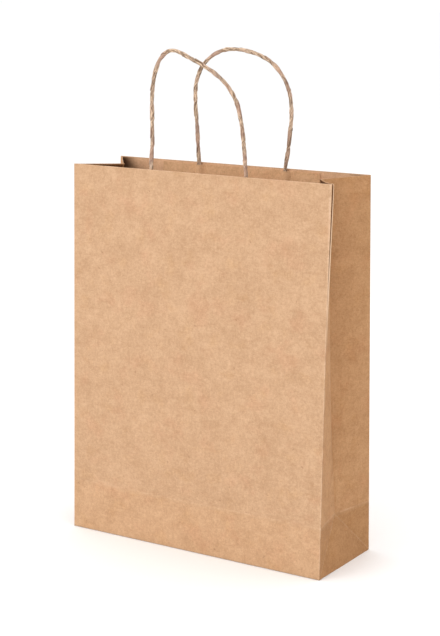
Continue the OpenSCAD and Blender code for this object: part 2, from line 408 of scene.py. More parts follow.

# %% [markdown]
# ## What folding and use do to it, with painted light and shade
# On the unfolded sheet the creases are straight lines. `across` is the way round the bag from the middle
# of the front, and `up` the height. `inward` is the distance from the nearer gusset's centre crease. So
# the foot crease, the corners, the foot's diagonals and the centre crease are each one short expression.
#
# - rubbed and highlit: the creases, a little paler and broken up, partly real rubbing and partly a painted
#   highlight on the folds
# - open fold highlight: a painted highlight on the pale fold beside the seam, where the corner has opened
# - pocket shade: painted shade in the gusset's inward fold, which makes it a little darker
# - hem: the turned-in edge. Its tint is painted light on the walls' hems and painted shade on the gussets'
#   hems,
# and painted shade darkens it in the corners of the mouth
# %% Folded paper
WORN_AND_HIGHLIT = (0.90, 0.68, 0.50, 1)
OPEN_FOLD_HIGHLIGHT = (0.84, 0.60, 0.41, 1)
POCKET_SHADE = (0.62, 0.55, 0.48, 1)
CREASE_SHADE = (0.45, 0.30, 0.18, 1)
MOUTH_CORNER_SHADE = (0.10, 0.045, 0.02, 1)
BOTTOM_WEAR_AND_SHADE = (0.35, 0.25, 0.17, 1)
CREASE_WIDTH = 1.5 * MM
POCKET_SHADE_WIDTH = 20 * MM


def folded(tree, colour, across, up, blotch, looks):
    """The colour with its creases, its foot strip and its hem, and with painted highlights and painted
    shade.
    """
    broken = 0.45 + tree.step(blotch, 0.35, 0.65) * 0.55
    half_way = 2 * (half_width + half_depth)
    round_bag = half_way - abs(half_way - abs(across))
    inward = abs(round_bag - half_way / 2)
    below = tree.step(up, foot_height + 2 * MM, foot_height - 2 * MM)
    # Painted shade below the foot crease: the gussets' foot triangles are darkened, and the walls get only a
    # slight tint.
    colour = tree.mixed(below, colour, looks["foot_tone"], "MULTIPLY")

    foot = tree.near(up, foot_height, 1.7 * MM)
    corner = tree.near(inward, half_depth, CREASE_WIDTH)
    slant = tree.near(up + inward, half_depth, CREASE_WIDTH) * below
    valley = tree.near(inward, 0.0, 1.2 * MM) * (1 - below)
    rim = tree.near(up, panel_len, 0.7 * MM)
    # Paler creases: partly real rubbing, partly a painted highlight where the folds catch the light.
    rubbed_and_highlit = foot * looks["foot_wear"] + corner * looks["edge_wear"] + slant * 0.6 + valley * 0.5 + rim
    worn_and_highlit = tree.step(rubbed_and_highlit * broken, 0.0, 1.0) * looks["wear"]
    colour = tree.mixed(worn_and_highlit, colour, WORN_AND_HIGHLIT)
    # Painted highlight on the gusset's rounded fold beside the seam, where the opened corner catches the
    # light. The same switch turns on the pocket's painted shade.
    if looks["open_fold"]:
        fold = tree.step(across, half_width - 0.7 * MM, half_width - 0.4 * MM)
        fold = fold * tree.step(across, half_width + 5 * MM, half_width + 3 * MM) * looks["open_fold"]
        fold = fold * tree.step(up, panel_len - 140 * MM, panel_len - 70 * MM)
        colour = tree.mixed(fold, colour, OPEN_FOLD_HIGHLIGHT)
        # Painted shade in the V of the gusset's inward fold, deepest at the centre crease.
        pocket_shade = tree.near(inward, 0.0, POCKET_SHADE_WIDTH) * tree.step(up, foot_height, panel_len) * 0.3
        colour = tree.mixed(pocket_shade * broken, colour, POCKET_SHADE, "MULTIPLY")
    shade = tree.near(up, foot_height - 1.6 * MM, 1.6 * MM) * 0.14
    colour = tree.mixed(shade, colour, CREASE_SHADE)
    # Painted light and shade on the hem: the inside tint lightens the walls' hems, which the key lamp
    # reaches over the rim, and darkens the gussets' hems, which lie in shade.
    hem = tree.step(up, panel_len + 0.3 * MM, panel_len + 1.2 * MM)
    colour = tree.mixed(hem, colour, looks["inside"], "MULTIPLY")
    # Painted shade: the hem turns nearly black in the corners of the mouth, where the narrow wedge between
    # wall and gusset lies in shade.
    mouth_corner_shade = hem * (1 - tree.step(abs(inward - half_depth), 3 * MM, 21 * MM)) * 0.92
    colour = tree.mixed(mouth_corner_shade, colour, MOUTH_CORNER_SHADE)
    # Darker line along the bottom edge: partly real wear, partly painted contact shadow.
    bottom_wear_and_shade = tree.near(up, 0.0, 1.6 * MM) * 0.35
    return tree.mixed(bottom_wear_and_shade, colour, BOTTOM_WEAR_AND_SHADE)


def kraft_paper(name, light, deep, looks=None, seed=0.0):
    """Paper between two tones. looks says how it is folded and where light and shade are painted, and is
    left out for a flat patch.
    """
    material, tree, shader = new_material(name)
    sheet = tree.add("ShaderNodeUVMap", {"uv_map": "sheet"})
    across, up = tree.add("ShaderNodeSeparateXYZ", {}, {0: sheet}, (0, 1))
    place = sheet + (seed, seed * 0.37, seed * 0.71)
    colour, blotch, grain, relief = pulp(tree, place, light, deep)
    if looks:
        colour = folded(tree, colour, across, up, blotch, looks)
    bump = tree.add("ShaderNodeBump", {}, {"Strength": 0.22, "Distance": 0.12 * MM, "Height": relief})
    tree.feed(shader, {
        "Base Color": colour,
        "Roughness": 0.72 + (grain - 0.5) * 0.25,
        "Normal": bump,
        "Specular IOR Level": 0.22,
        "Specular Tint": (0.85, 0.62, 0.45, 1),
    })
    return material


FACE_LIGHT = (0.606, 0.390, 0.241, 1)
FACE_DEEP = (0.424, 0.250, 0.140, 1)
# The gussets' paper is the walls' paper made darker and more saturated: painted shade for the sides that
# turn away from the key lamp.
GUSSET_SHADED_LIGHT = (0.520, 0.291, 0.145, 1)
GUSSET_SHADED_DEEP = (0.354, 0.179, 0.079, 1)
# The patches' paper is lighter than the walls': painted light for the strip inside the wall that the key
# lamp reaches over the rim.
PATCH_LIGHTENED_LIGHT = (0.80, 0.50, 0.29, 1)
PATCH_LIGHTENED_DEEP = (0.56, 0.32, 0.168, 1)
# The tab's paper is nearly black-brown: painted shadow for the narrow gap under the lifted cut edge.
TAB_SHADOW_LIGHT = (0.24, 0.105, 0.045, 1)
TAB_SHADOW_DEEP = (0.16, 0.066, 0.026, 1)

# Wall paper: the inside tint lightens the hems as painted light, and the foot tint is a slight warm shift.
face_looks = {
    "foot_tone": (1.02, 1.0, 0.97, 1), "inside": (1.29, 1.245, 1.24, 1),
    "wear": 0.24, "edge_wear": 0.9, "foot_wear": 0.35, "open_fold": 0.0,
}
# Gusset paper: the inside tint darkens the hems as painted shade, and the foot tint darkens the foot
# triangles as painted shade.
gusset_looks = {
    "foot_tone": (0.87, 0.83, 0.76, 1), "inside": (0.24, 0.18, 0.13, 1),
    "wear": 0.2, "edge_wear": 0.9, "foot_wear": 0.6, "open_fold": 0.8,
}
tab_looks = dict(gusset_looks, foot_wear=0.35, open_fold=0.9)

face_paper = kraft_paper("kraft_face_paper", FACE_LIGHT, FACE_DEEP, face_looks)
gusset_shaded_paper = kraft_paper("kraft_gusset_paper", GUSSET_SHADED_LIGHT, GUSSET_SHADED_DEEP, gusset_looks)
tab_shadow_paper = kraft_paper("kraft_tab_paper", TAB_SHADOW_LIGHT, TAB_SHADOW_DEEP, tab_looks)
patch_lightened_paper = kraft_paper("kraft_patch_paper", PATCH_LIGHTENED_LIGHT, PATCH_LIGHTENED_DEEP, seed=3.3)
for paper in (face_paper, gusset_shaded_paper, tab_shadow_paper, patch_lightened_paper):
    print("paper:", paper.name, len(paper.node_tree.nodes), "nodes")

# %% [markdown]
# ## How the walls give
# A filled press leaves a bag's walls almost flat, but never quite: they belly out a little between the
# creases, and the sheet has long, shallow waves. Both fade out towards the creases, where the fold holds
# the paper straight. Below the foot crease the wall has its own small belly, so light breaks at that
# line.
# %% Give of the paper
BELLY = 1.5 * MM
FOOT_BELLY = 0.35 * MM
WAVE = 0.55 * MM
CREASE_DIP = 0.16 * MM
DIP_WIDTH = 0.9 * MM
WAVE_LENGTH = 0.075


def wavy(across, height, seed):
    """A shallow wave between about -1 and 1."""
    spot = Vector((across / WAVE_LENGTH, height / (WAVE_LENGTH * 1.4), seed))
    return noise.noise(spot) + 0.35 * noise.noise(spot * 2.3)


def wall_give(across, height, seed):
    """How far a wall stands out from its flat plane."""
    aside = smooth(half_width - abs(across), 0, 18 * MM)
    bow = math.cos(math.pi * across / (2 * half_width))
    dip = CREASE_DIP * math.exp(-(((height - foot_height) / DIP_WIDTH) ** 2))
    if height < foot_height:
        low = math.sin(math.pi * height / foot_height)
        return FOOT_BELLY * low * bow - dip * aside
    part = (height - foot_height) / upper_len
    rise = math.sin(math.pi * min(part, 1)) * (1 - smooth(part, 0.72, 1.0))
    fade = smooth(height - foot_height, 0, 30 * MM) * aside
    calm = 1 - 0.75 * smooth(part, 0.8, 0.95)
    return BELLY * rise * bow + WAVE * fade * calm * wavy(across, height, seed) - dip * aside


print("belly of the front wall in mm:", round(wall_give(0, 0.17, 1.0) / MM, 2))

# %% [markdown]
# ## Front and rear walls
# Each wall is one sheet from the bottom crease to the top, where it folds over and runs down the inside
# as a hem. It could be two plates, but then the top edge would show a slit instead of a rounded fold. So
# the rows of the grid follow the whole way: up the outside, round the fold, and down again one ply
# further in.
#
# A row is given by its height and by its depth below the outer face, and `rolled_height` tells where it
# lies on the unfolded sheet.
# %% Rows of a wall
HEM_HEIGHT = (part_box("front_top_hem")[1].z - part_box("front_top_hem")[0].z) / wall_up.z
FOLD_PARTS = 6
FOOT_ROWS = [-2.2 * MM, -1.1 * MM, -0.5 * MM, 0, 0.5 * MM, 1.1 * MM, 2.2 * MM]


def fold_rows(low, pitch):
    """(height, depth) up the outside, round the top fold and down the hem."""
    rows = gathered(steps(low, panel_len - FOLD_RADIUS, pitch), foot_height, FOOT_ROWS)
    path = [(height, 0.0) for height in rows]
    for k in range(1, FOLD_PARTS):
        angle = math.pi * k / FOLD_PARTS
        path.append((
            panel_len - FOLD_RADIUS + FOLD_RADIUS * math.sin(angle),
            FOLD_RADIUS * (1 - math.cos(angle)),
        ))
    hem = steps(panel_len - HEM_HEIGHT, panel_len - FOLD_RADIUS, pitch)
    return path + [(height, 2 * FOLD_RADIUS) for height in reversed(hem)]


def rolled_height(height, depth):
    """The height on the unfolded sheet: the hem carries on past the top edge."""
    return height if depth < FOLD_RADIUS else 2 * panel_len - height


print("a wall has", len(fold_rows(0, 5.5 * MM)), "rows, and its hem is", round(HEM_HEIGHT / MM, 1), "mm")

# %% [markdown]
# ## The opened corner
# The front wall ends in a cut edge at the right, glued over a tab that comes round the corner from the
# gusset. Near the top the glue has let go. The cut edge stands off a little and has moved to the right, and
# the fold behind it has opened. Both grow smoothly towards the top, so two soft steps are enough.
# %% Opened corner
SEAM_SETBACK = 0.3 * MM
LIFT = 0.4 * MM
LIFT_LENGTH = 125 * MM
LIFT_REACH = 12 * MM
EDGE_FLARE = 1.7 * MM
FLARE_LENGTH = LIFT_LENGTH + 25 * MM
FOLD_FLARE = Vector((1.5 * MM, 2.4 * MM, 0))


def seam_lift(across, height):
    """How far the cut edge of the front wall has come away."""
    top = smooth(height, panel_len - LIFT_LENGTH, panel_len - 4 * MM)
    return LIFT * top * smooth(across, half_width - LIFT_REACH, half_width - SEAM_SETBACK)


def flare(height):
    """0 where the seam holds, and 1 at the top, where the corner has opened."""
    opened = smooth(height, panel_len - LIFT_LENGTH, panel_len - LIFT_LENGTH + FLARE_LENGTH)
    return opened / smooth(LIFT_LENGTH, 0, FLARE_LENGTH)


print("the corner has opened over the top", round(LIFT_LENGTH / MM), "mm")

# %% [markdown]
# ## The two wall sheets
# With rows and columns known, a wall is one point after the other: where it lies across, how far it has
# turned in at a crease, and how far the wall gives there. Both walls come from one function, because they
# are cut alike. The rear one has a crease on each side and is turned round.
# %% Walls
HEM_SETBACK = 1.6 * MM
TAB_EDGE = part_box("side_seam_tab")[0].x


def wall_columns(rear):
    """Places across a wall, closer together near its creases and its cut edge."""
    edge = [0, 0.35 * MM, 0.7 * MM, 1.1 * MM, 2.2 * MM, 4 * MM, 7 * MM, 11 * MM]
    columns = [distance - half_width for distance in edge]
    columns += steps(-half_width + 16 * MM, half_width - 20 * MM, 5.5 * MM)
    if rear:
        return columns + [half_width - distance for distance in reversed(edge + [16 * MM])]
    cut = [17 * MM, 14 * MM, 11 * MM, 8 * MM, 5 * MM, 3.2 * MM, SEAM_SETBACK]
    return columns + [half_width - distance for distance in cut]


def beside_crease(column, inner):
    """The place across near a corner crease, and how far the sheet has turned inwards there."""
    room = half_width - abs(column)
    kept, turned = eased(room)
    setback = HEM_SETBACK * inner * (1 - smooth(room, 0, 9 * MM))
    return math.copysign(half_width - kept - setback, column), turned


def beside_seam(column, inner):
    """The place across near the seam: the hem stops beside the glue tab."""
    edge = half_width - SEAM_SETBACK
    shift = (TAB_EDGE - 0.4 * MM - edge) * smooth(column, half_width - 30 * MM, edge)
    return column + shift * smooth(inner, 0.55, 1.0)


def wall_point(column, height, depth, rear, seed):
    """A point of the front wall, and its place across. The rear wall is the same, turned round."""
    inner = depth / (2 * FOLD_RADIUS)
    turned = 0
    if rear or column < 0:
        across, turned = beside_crease(column, inner)
    else:
        across = beside_seam(column, inner)
    raised = height
    if depth == 0:
        raised, sunk = eased(height)
        turned = max(turned, sunk)
    give = wall_give(across, raised, seed)
    if not rear:
        give += seam_lift(across, raised)
        across += EDGE_FLARE * flare(raised) * smooth(across, half_width - 24 * MM, half_width)
    point = front_plate.at(across, raised) + front_plate.out * (give - depth - turned)
    if rear:
        point = Vector((-point.x, -point.y, point.z))
    return point, across


def wall_sheet(name, rear, seed):
    """One wall with its hem. The rear one has a crease on both sides, and no cut edge."""
    start = 2 * (half_width + half_depth) if rear else 0
    grid = []
    flat = []
    for height, depth in fold_rows(0, 5.5 * MM):
        row = [wall_point(column, height, depth, rear, seed) for column in wall_columns(rear)]
        grid.append([point for point, across in row])
        flat.append([(start + across, rolled_height(height, depth)) for point, across in row])
    return paper_sheet(name, grid, flat, face_paper)


FRONT_SEED = 1.0
REAR_SEED = 5.0
front_sheet = wall_sheet("front_sheet", rear=False, seed=FRONT_SEED)
rear_sheet = wall_sheet("rear_sheet", rear=True, seed=REAR_SEED)
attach(front_sheet, "front_wall")
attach(rear_sheet, "rear_wall")
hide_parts("front_panel", "front_base_strip", "front_top_hem")
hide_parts("rear_panel", "rear_base_strip", "rear_top_hem")

# %% [markdown]
# ## The glue tab
# The tab is the gusset's own paper, carried round the corner and under the front wall. Near the top,
# where the corner has opened, it shows as a dark line between the cut edge and the gusset's fold. That
# darkness is painted shadow: the tab's paper is given a very dark tone, for the shade in the narrow gap.
# It is a plain strip one ply further in.
# %% Glue tab
tab_rows = gathered(steps(0.4 * MM, panel_len - 0.2 * MM, 6 * MM), foot_height, [-1.1 * MM, 0, 1.1 * MM])
tab_columns = [TAB_EDGE, TAB_EDGE + 5 * MM, TAB_EDGE + 10 * MM]
tab_columns += [half_width - 2.4 * MM, half_width - 1.2 * MM, half_width - CREASE_PULL]


def tab_point(across, height):
    """A point of the tab, which follows the wall and stays on the gusset where the corner has opened."""
    inset = wall_give(across, height, FRONT_SEED) - CREASE_PULL
    opened = FOLD_FLARE * flare(height) * smooth(across, TAB_EDGE, half_width)
    return front_plate.at(across, height) + front_plate.out * inset + opened


tab_grid = [[tab_point(across, height) for across in tab_columns] for height in tab_rows]
tab_flat = [[(across, height) for across in tab_columns] for height in tab_rows]
seam_tab = paper_sheet("seam_tab_sheet", tab_grid, tab_flat, tab_shadow_paper)
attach(seam_tab, "front_wall")
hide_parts("side_seam_tab")

# %% [markdown]
# ## Side gussets
# Each gusset is pushed inwards along its middle, which splits it into a front and a rear quarter. A
# quarter is flat up to a soft diagonal and then turns inwards. Nobody creased that diagonal: the paper
# found it by itself when the bag was opened, so it is a round bend and not a line. The sheet is laid on
# both facets, and near the diagonal it follows a curve that leaves one and joins the other.
# %% Gusset quarters
BEND_RADIUS = 9 * MM
GUSSET_WAVE = 0.4 * MM
over_diagonal = Vector((upper_len, half_depth)) / diagonal_len
inner_way = inner_plate.across * over_diagonal.x + inner_plate.up * over_diagonal.y
corner_way = corner_plate.across * over_diagonal.x + corner_plate.up * over_diagonal.y
bend_way = inner_way - corner_way


def quarter_point(across, height, depth, seed):
    """A point of the right front quarter, for its place on the flat sheet."""
    beyond = ((height - panel_len) * half_depth + across * upper_len) / diagonal_len
    kept, turned = eased(across)
    plate = inner_plate if beyond > 0 else corner_plate
    point = plate.at(kept, height)
    held = smooth(across, 0, 9 * MM) * smooth(half_depth - across, 0, 6 * MM)
    held *= smooth(height, foot_height - 4 * MM, foot_height + 30 * MM)
    rounding = (math.hypot(beyond, BEND_RADIUS) - abs(beyond)) / 2
    point += bend_way * rounding * held
    share = smooth(beyond, -BEND_RADIUS, BEND_RADIUS)
    out = (corner_plate.out * (1 - share) + inner_plate.out * share).normalized()
    dip = CREASE_DIP * 0.8 * math.exp(-(((height - foot_height) / DIP_WIDTH) ** 2))
    dip *= smooth(across, 0, 5 * MM) * smooth(half_depth - across, 0, 5 * MM)
    give = GUSSET_WAVE * held * wavy(across * 2, height, seed) - dip
    return point + out * (give - depth - turned)


print("the soft diagonal is", round(diagonal_len / MM, 1), "mm long")

# %% [markdown]
# ## Gusset sheets
# One function lays all four quarters. Below the foot crease the rows fan out from the foot's diagonal, and
# above it they are level, as on a wall. The right front quarter is computed, and the others mirror it.
#
# The blend across the diagonal rounds the bend from one facet into the other. Past the centre
# crease each quarter has a narrow lip, so that no gap opens between the two.
# %% Gusset sheets
CORNER_PARTS = 9
LIP = 1.1 * MM


def corner_rows(columns):
    """Rows of flat places below the foot crease, from the foot's diagonal up to that crease."""
    rows = []
    for k in range(CORNER_PARTS):
        part = k / CORNER_PARTS
        row = []
        for across in columns:
            height = across + (foot_height - across) * part
            row.append((min(across, half_depth), min(height, foot_height)))
        rows.append(row)
    return rows


def quarter_sheet(name, side, end, seed):
    """side is 1 for right and -1 for left, and end is 1 for front and -1 for rear."""
    columns = [0, 0.35 * MM, 0.7 * MM, 1.1 * MM, 2 * MM, 3.2 * MM]
    columns += steps(5 * MM, half_depth - 3 * MM, 2.4 * MM)
    columns += [half_depth - 1.2 * MM, half_depth, half_depth + LIP]
    grid = []
    flat = []
    for row in corner_rows(columns):
        grid.append([quarter_point(across, height, 0, seed) for across, height in row])
        flat.append(row)
    for height, depth in fold_rows(foot_height, 4.5 * MM):
        if depth == 0 and height < foot_height:
            continue
        inner = smooth(depth / (2 * FOLD_RADIUS), 0, 1)
        row = [a + HEM_SETBACK * inner * (1 - smooth(a, 0, 9 * MM)) for a in columns]
        if height <= foot_height:
            row = [min(across, half_depth) for across in row]
        grid.append([quarter_point(across, height, depth, seed) for across in row])
        flat.append([(across, rolled_height(height, depth)) for across in row])

    quarter_mark = half_width + half_depth
    opened = side > 0 and end > 0
    for j, marks in enumerate(flat):
        for i, (across, height) in enumerate(marks):
            point = grid[j][i]
            grid[j][i] = Vector((point.x * side, point.y * end, point.z))
            if opened:
                held = 1 - smooth(across, 0, 22 * MM)
                grid[j][i] += FOLD_FLARE * flare(min(height, 2 * panel_len - height)) * held
        flat[j] = [
            (side * (quarter_mark - end * (half_depth - across)), height) for across, height in marks
        ]
    return paper_sheet(name, grid, flat, gusset_shaded_paper, mirrored=side * end < 0)


for side, side_name in ((1, "right"), (-1, "left")):
    for end, end_name in ((1, "front"), (-1, "rear")):
        quarter = f"{side_name}_{end_name}"
        gusset = quarter_sheet(f"{quarter}_gusset_sheet", side, end, 2.0 + side + 3 * end)
        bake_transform(gusset)
        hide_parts(*(f"{quarter}_gusset_{part}" for part in ("corner", "side", "fold", "hem")))

# %% [markdown]
# ## Foot triangles
# Where the gusset meets the block bottom, two diagonals leave the bottom corners and meet at the apex.
# The triangle between them hinges on the bottom crease. It is drawn in rows that grow shorter towards its
# tip.
# %% Foot triangles
FOOT_PUFF = 0.35 * MM


def foot_sheet(side, side_name):
    """One foot triangle. side is 1 for right and -1 for left."""
    grid = []
    flat = []
    for height in [0, 0.4 * MM, 0.8 * MM] + steps(2 * MM, foot_height, 3 * MM):
        kept, turned = eased(height)
        row = []
        for share in steps(-1, 1, 0.1):
            y = (foot_height - height) * share
            puff = FOOT_PUFF * math.sin(math.pi * height / foot_height) * (1 - share ** 2)
            point = foot_plate.at(y, kept) + foot_plate.out * (puff - turned)
            row.append(Vector((point.x * side, point.y, point.z)))
        grid.append(row)
        flat.append([(side * (half_width + half_depth + point.y), height) for point in row])
    foot = paper_sheet(f"{side_name}_foot_sheet", grid, flat, gusset_shaded_paper, mirrored=side < 0)
    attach(foot, f"{side_name}_foot")
    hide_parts(f"{side_name}_foot_triangle")


foot_sheet(1, "right")
foot_sheet(-1, "left")

# %% [markdown]
# ## Block bottom
# Four flaps close the bottom: the two side flaps lie inside, the front flap over them, and the rear flap
# is glued on last, so its cut edge runs across the underside. They are flat sheets on top of each other,
# and the front and rear flaps turn up a little where they meet their walls.
# %% Bottom flaps
FLAP_PLAY = 0.25 * MM
FLAP_EDGE = 0.3 * MM
LAYER = 1.04 * PLY
SWELL = 0.05 * MM
SWELL_LIMIT = 0.03 * MM
FLAP_ROWS = 24
FLAP_COLUMNS = 32


def bottom_flap(name, node, reaches, layer):
    """reaches gives, for a share of the way from the cut edge to the crease, the row's two ends."""
    grid = []
    flat = []
    for j in range(FLAP_ROWS + 1):
        start, stop = reaches(j / FLAP_ROWS)
        row = []
        for i in range(FLAP_COLUMNS + 1):
            spot = start.lerp(stop, i / FLAP_COLUMNS)
            swell = min(SWELL * wavy(spot.x * 2, spot.y * 2, layer + 7.0) ** 2, SWELL_LIMIT)
            row.append(spot + Vector((0, 0, (LAYER + swell) * layer)))
        grid.append(row)
        flat.append([(point.x + 0.5, point.y + 0.2 * layer) for point in row])
    faces_up = (grid[0][1] - grid[0][0]).cross(grid[1][0] - grid[0][0]).z > 0
    flap = paper_sheet(name, grid, flat, face_paper, mirrored=faces_up)
    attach(flap, "base")
    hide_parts(node)


def long_flap(node, crease_end):
    """The two ends of each row of a front or rear flap."""
    low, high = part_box(node)
    cut = high.y if crease_end < 0 else low.y
    crease = crease_end * (half_depth - CREASE_PULL - FLAP_PLAY)

    def reaches(share):
        y = cut + (crease - cut) * share
        lift = CREASE_PULL * smooth(share, 0.985, 1.0)
        return Vector((-half_width + FLAP_EDGE, y, lift)), Vector((half_width - FLAP_EDGE, y, lift))

    return reaches


def side_flap(node, side):
    """The mitred ends of each row of a side flap."""
    low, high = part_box(node)
    cut = min(abs(low.x), abs(high.x))

    def reaches(share):
        x = cut + (half_width - CREASE_PULL - 2 * FLAP_PLAY - cut) * share
        room = half_depth - 2 * FLAP_EDGE - (half_width - x) / 2
        return Vector((side * x, -room, 0)), Vector((side * x, room, 0))

    return reaches


bottom_flap("bottom_rear_sheet", "bottom_rear_flap", long_flap("bottom_rear_flap", 1), 0)
bottom_flap("bottom_front_sheet", "bottom_front_flap", long_flap("bottom_front_flap", -1), 1)
bottom_flap("bottom_right_sheet", "bottom_right_flap", side_flap("bottom_right_flap", 1), 2)
bottom_flap("bottom_left_sheet", "bottom_left_flap", side_flap("bottom_left_flap", -1), 2)

# %% [markdown]
# ## The cords' routes
# The patches and the cords need the same points, so those come first. Each loop was bent by hand, and no
# two are alike. Its route is a short list of places in its own plane, in millimetres: across, and up from
# the rim.
# %% Cord routes
cord_radius = 1.75 * MM
cord_depth = 3 * PLY + cord_radius
front_route = [
    (-44, 0.5), (-43, 10), (-41, 21), (-40, 31), (-39, 41), (-38, 52), (-37, 61), (-35, 70), (-32, 79),
    (-28, 87), (-23, 92.5), (-17.5, 95.5), (-12, 96), (-6.5, 94.5), (0, 91.5), (7, 88.5), (14, 85), (21, 81),
    (28, 76), (34, 70), (38.5, 63), (41.5, 56), (43, 48), (44, 40), (44.5, 31), (44.5, 21), (44.5, 10),
    (44.5, 0.5),
]
rear_route = [
    (-38.5, 0.5), (-39.5, 11), (-40.5, 22), (-41.5, 33), (-43, 44), (-43.5, 54), (-43.5, 63), (-41.5, 71),
    (-37.5, 78.5), (-32, 84.5), (-25, 89), (-17, 92), (-8, 93), (1, 92.5), (10, 91), (18, 88.5), (25.5, 85),
    (32.5, 80), (38.5, 73.5), (43, 66.5), (46, 58.5), (47.5, 50), (48, 41), (47.5, 31), (46.5, 21),
    (45.5, 11), (44, 0.5),
]
for label, route in (("front", front_route), ("rear", rear_route)):
    print(label, "loop:", len(route), "points, legs", route[-1][0] - route[0][0], "mm apart")

# %% [markdown]
# ## Handle patches
# Inside each wall, under the top edge, a patch of the same paper holds the cord ends: a flat strip is
# glued to the wall, the cords are laid on it, and a second strip is pressed over them. The pressed strip
# stands up in a ridge over each cord and lies flat everywhere else, so its height is worked out from the
# distance to the nearest cord.
# %% Handle patches
RIDGE_FOOT = 5.2 * MM
COVER_DROP = 1.8 * MM
CRUMPLE = 0.12 * MM


def patch_columns(edge, legs, cover):
    """Places across a patch, closer together over the cords."""
    columns = steps(-edge, edge, 6 * MM)
    if cover:
        for leg in legs:
            columns = [x for x in columns if abs(x - leg) > 7 * MM]
            columns += steps(leg - 6.3 * MM, leg + 6.3 * MM, 0.7 * MM)
    return sorted(columns)


def patch_depth(across, height, legs, seed, cover):
    """How far inside the wall's outer face a patch lies."""
    if not cover:
        return 2 * FOLD_RADIUS + 0.03 * MM + PLY
    nearest = min(abs(across - leg) for leg in legs)
    ridge = 1 - smooth(nearest, 0.9 * MM, RIDGE_FOOT)
    crumple = CRUMPLE * wavy(across * 3, height * 3, seed) * (1 - ridge)
    return 4 * PLY + 0.09 * MM + (2 * cord_radius + 0.35 * MM) * ridge + crumple


def patch_sheet(name, end, node, legs, seed, cover):
    """The flat strip, or the pressed one over the two cords."""
    low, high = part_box(node)
    top = panel_len - COVER_DROP if cover else high.z / wall_up.z - 0.1 * MM
    bottom = low.z / wall_up.z + 0.1 * MM
    turned = 1 if end == "front" else -1
    grid = []
    flat = []
    for height in steps(bottom, top, 2.5 * MM):
        row = []
        for across in patch_columns(high.x, legs, cover):
            depth = patch_depth(across, height, legs, seed, cover)
            inset = wall_give(across * turned, height, seed) - depth
            point = front_plate.at(across, height) + front_plate.out * inset
            row.append(Vector((point.x, point.y * turned, point.z)))
        grid.append(row)
        flat.append([(point.x + seed, height) for point in row])
    # The patch paper's lighter tone is painted light.
    patch = paper_sheet(name, grid, flat, patch_lightened_paper, mirrored=end == "front")
    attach(patch, f"{end}_wall")
    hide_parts(node)


for end, route, seed in (("front", front_route, FRONT_SEED), ("rear", rear_route, REAR_SEED)):
    legs = [route[0][0] * MM, route[-1][0] * MM]
    patch_sheet(f"{end}_patch_sheet", end, f"{end}_handle_patch", legs, seed, cover=False)
    patch_sheet(f"{end}_cover_sheet", end, f"{end}_cord_cover", legs, seed, cover=True)

# %% [markdown]
# ## Twisted paper cord
# A bag cord is a paper strip twisted tight on itself. One edge of the strip stays on the outside, so a
# groove winds round the cord in a long, uneven screw, and the cord is never quite round or evenly thick.
#
# Geometry Nodes suit this well. A line of points becomes a curve, the curve is given a tilt that grows
# along it, and a profile with a groove in it is swept along the tilted curve. The profile's own place is
# stored on the mesh together with the length along the cord, as if the cord had been pulled straight: the
# paper's pattern reads that, and so it winds with the twist.
# %% Twisted line
CORD_STEP = 0.7 * MM
cord_sizes = {
    "Radius": 0.93 * cord_radius,
    "Twist length": 36 * MM,
    "Unevenness": 0.2,
    "Kink": 0.7 * MM,
    "Seed": 1.0,
}


def twisted_line(tree, given):
    """The line as a curve with its twist and kinks, the length run along it, and its thickness."""
    curve = tree.add("GeometryNodeMeshToCurve", {}, {0: given["Line"]})
    curve = tree.add("GeometryNodeResampleCurve", {"mode": "LENGTH"}, {"Curve": curve, "Length": CORD_STEP})
    length = tree.add("GeometryNodeSplineParameter", {}, {}, 1)
    curve, run = tree.add(
        "GeometryNodeCaptureAttribute", {"captured": ("FLOAT", "Length")}, {0: curve, 1: length}, (0, 1))
    along = tree.add("ShaderNodeCombineXYZ", {}, {0: run, 1: given["Seed"]})
    slow = tree.noise(along, 45, 2)
    fast = tree.noise(along + (0.0, 3.1, 0.0), 190, 2)
    twist = run / given["Twist length"] * (2 * math.pi) + (slow - 0.5) * 8.0 + (fast - 0.5) * 3.0
    curve = tree.add("GeometryNodeSetCurveTilt", {}, {"Curve": curve, "Tilt": twist})
    sway = tree.add("ShaderNodeTexNoise", {}, {"Vector": along + (0.0, 7.7, 0.0), "Scale": 75.0}, 1)
    sway = (sway - (0.5, 0.5, 0.5)) * given["Kink"]
    curve = tree.add("GeometryNodeSetPosition", {}, {"Geometry": curve, "Offset": sway})
    thickness = 1.0 + ((slow - 0.5) * 1.1 + (fast - 0.5) * 1.3) * given["Unevenness"]
    curve = tree.add("GeometryNodeSetCurveRadius", {}, {"Curve": curve, "Radius": thickness})
    return curve, run, thickness


print("a cord has a ring every", CORD_STEP / MM, "mm and a twist of", cord_sizes["Twist length"] / MM, "mm")

# %% [markdown]
# ## The cord's outline and its tree
# The outline is a circle whose points are moved in or out by their angle: a little oval, with a deep groove
# where the strip's edge lies and a shallow one where it is creased. The tree joins line and outline.
# %% Cord tree
CORD_SIDES = 22
GROOVE_ANGLE = 0.0
SECOND_ANGLE = 2.3


